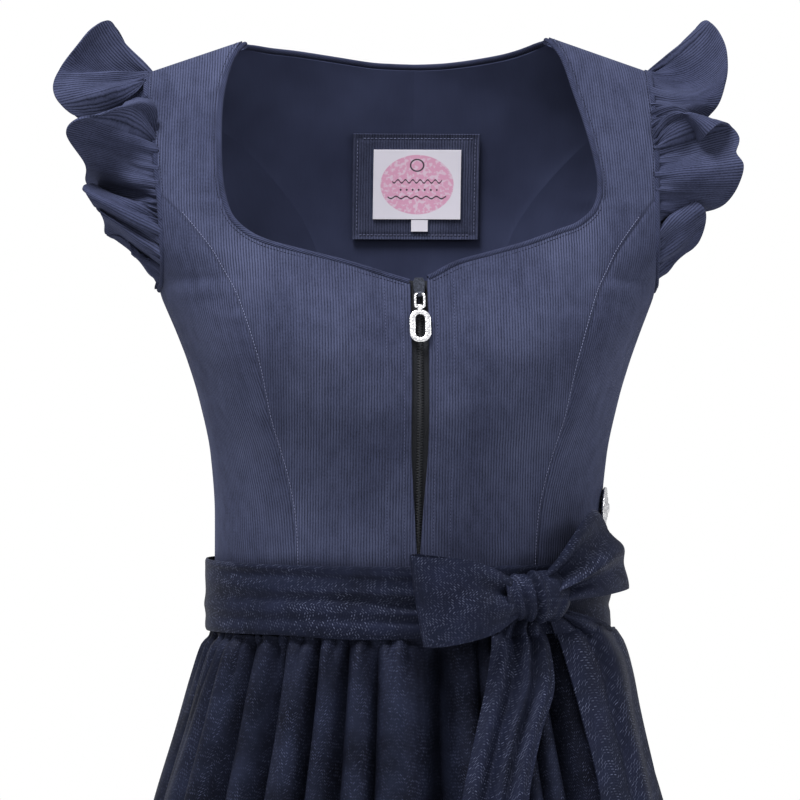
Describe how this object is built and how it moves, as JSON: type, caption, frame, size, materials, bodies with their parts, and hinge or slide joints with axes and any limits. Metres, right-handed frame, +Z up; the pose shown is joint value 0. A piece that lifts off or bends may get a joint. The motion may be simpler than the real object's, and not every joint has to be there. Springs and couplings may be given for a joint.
{
  "type": "dirndl dress",
  "caption": "Worn-shape dirndl: front-zipped corduroy bodice with princess seams and ruffled armholes, gathered skirt and apron with strings tied in a side bow.",
  "frame": {"origin": "on the shoulder line, midway between the two shoulder seams, where the wearer's shoulders hold the dress up", "axes": "+Z up, the front of the dress faces -Y, and +X is the wearer's left"},
  "size_m": [0.5628, 0.4844, 1.0254],
  "materials": {
    "corduroy": "fine-ribbed cotton corduroy with a short nap",
    "lining": "smooth satin lining",
    "string_satin": "satin with a woven herringbone stripe",
    "apron_cloth": "satin with a woven herringbone stripe",
    "skirt_cloth": "plain matt cotton",
    "zip_tape": "woven polyester tape",
    "label_white": "white woven satin label",
    "silver": "bright silver plate",
    "dark_metal": "dark lacquered metal"
  },
  "bodies": {
    "dress": {"front_left": "corduroy", "front_right": "corduroy", "side_front_left": "corduroy", "side_front_right": "corduroy", "side_back_left": "corduroy", "side_back_right": "corduroy", "back_centre": "corduroy", "lining_side_back_left": "lining", "lining_side_back_right": "lining", "lining_back": "lining", "armhole_piping_left": "corduroy", "armhole_piping_right": "corduroy", "neck_binding_left": "corduroy", "neck_binding_right": "corduroy", "neck_binding_back": "corduroy", "ruffle_left": "corduroy", "ruffle_right": "corduroy", "zip_tape_left": "zip_tape", "zip_tape_right": "zip_tape", "zip_slider": "dark_metal", "label_patch": "corduroy", "label": "label_white", "size_tab": "label_white", "side_button": "silver", "skirt_front": "skirt_cloth", "skirt_back": "skirt_cloth", "apron": "apron_cloth", "apron_band": "string_satin", "waist_tie": "string_satin", "bow_knot": "string_satin", "bow_loop_right": "string_satin", "bow_loop_left": "string_satin", "bow_tail_right": "string_satin", "bow_tail_left": "string_satin"},
    "link": {"zip_link": "silver"},
    "pull": {"zip_pull": "silver"}
  },
  "joints": [
    {"name": "link_swing", "type": "hinge", "parent": "dress", "child": "link", "pos_m": [0, -0.13045, -0.16328], "axis": [-1, 0, 0], "range_deg": [0, 100]},
    {"name": "pull_swing", "type": "hinge", "parent": "link", "child": "pull", "pos_m": [0, -0.13332, -0.17181], "axis": [-1, 0, 0], "range_deg": [0, 75]}
  ]
}
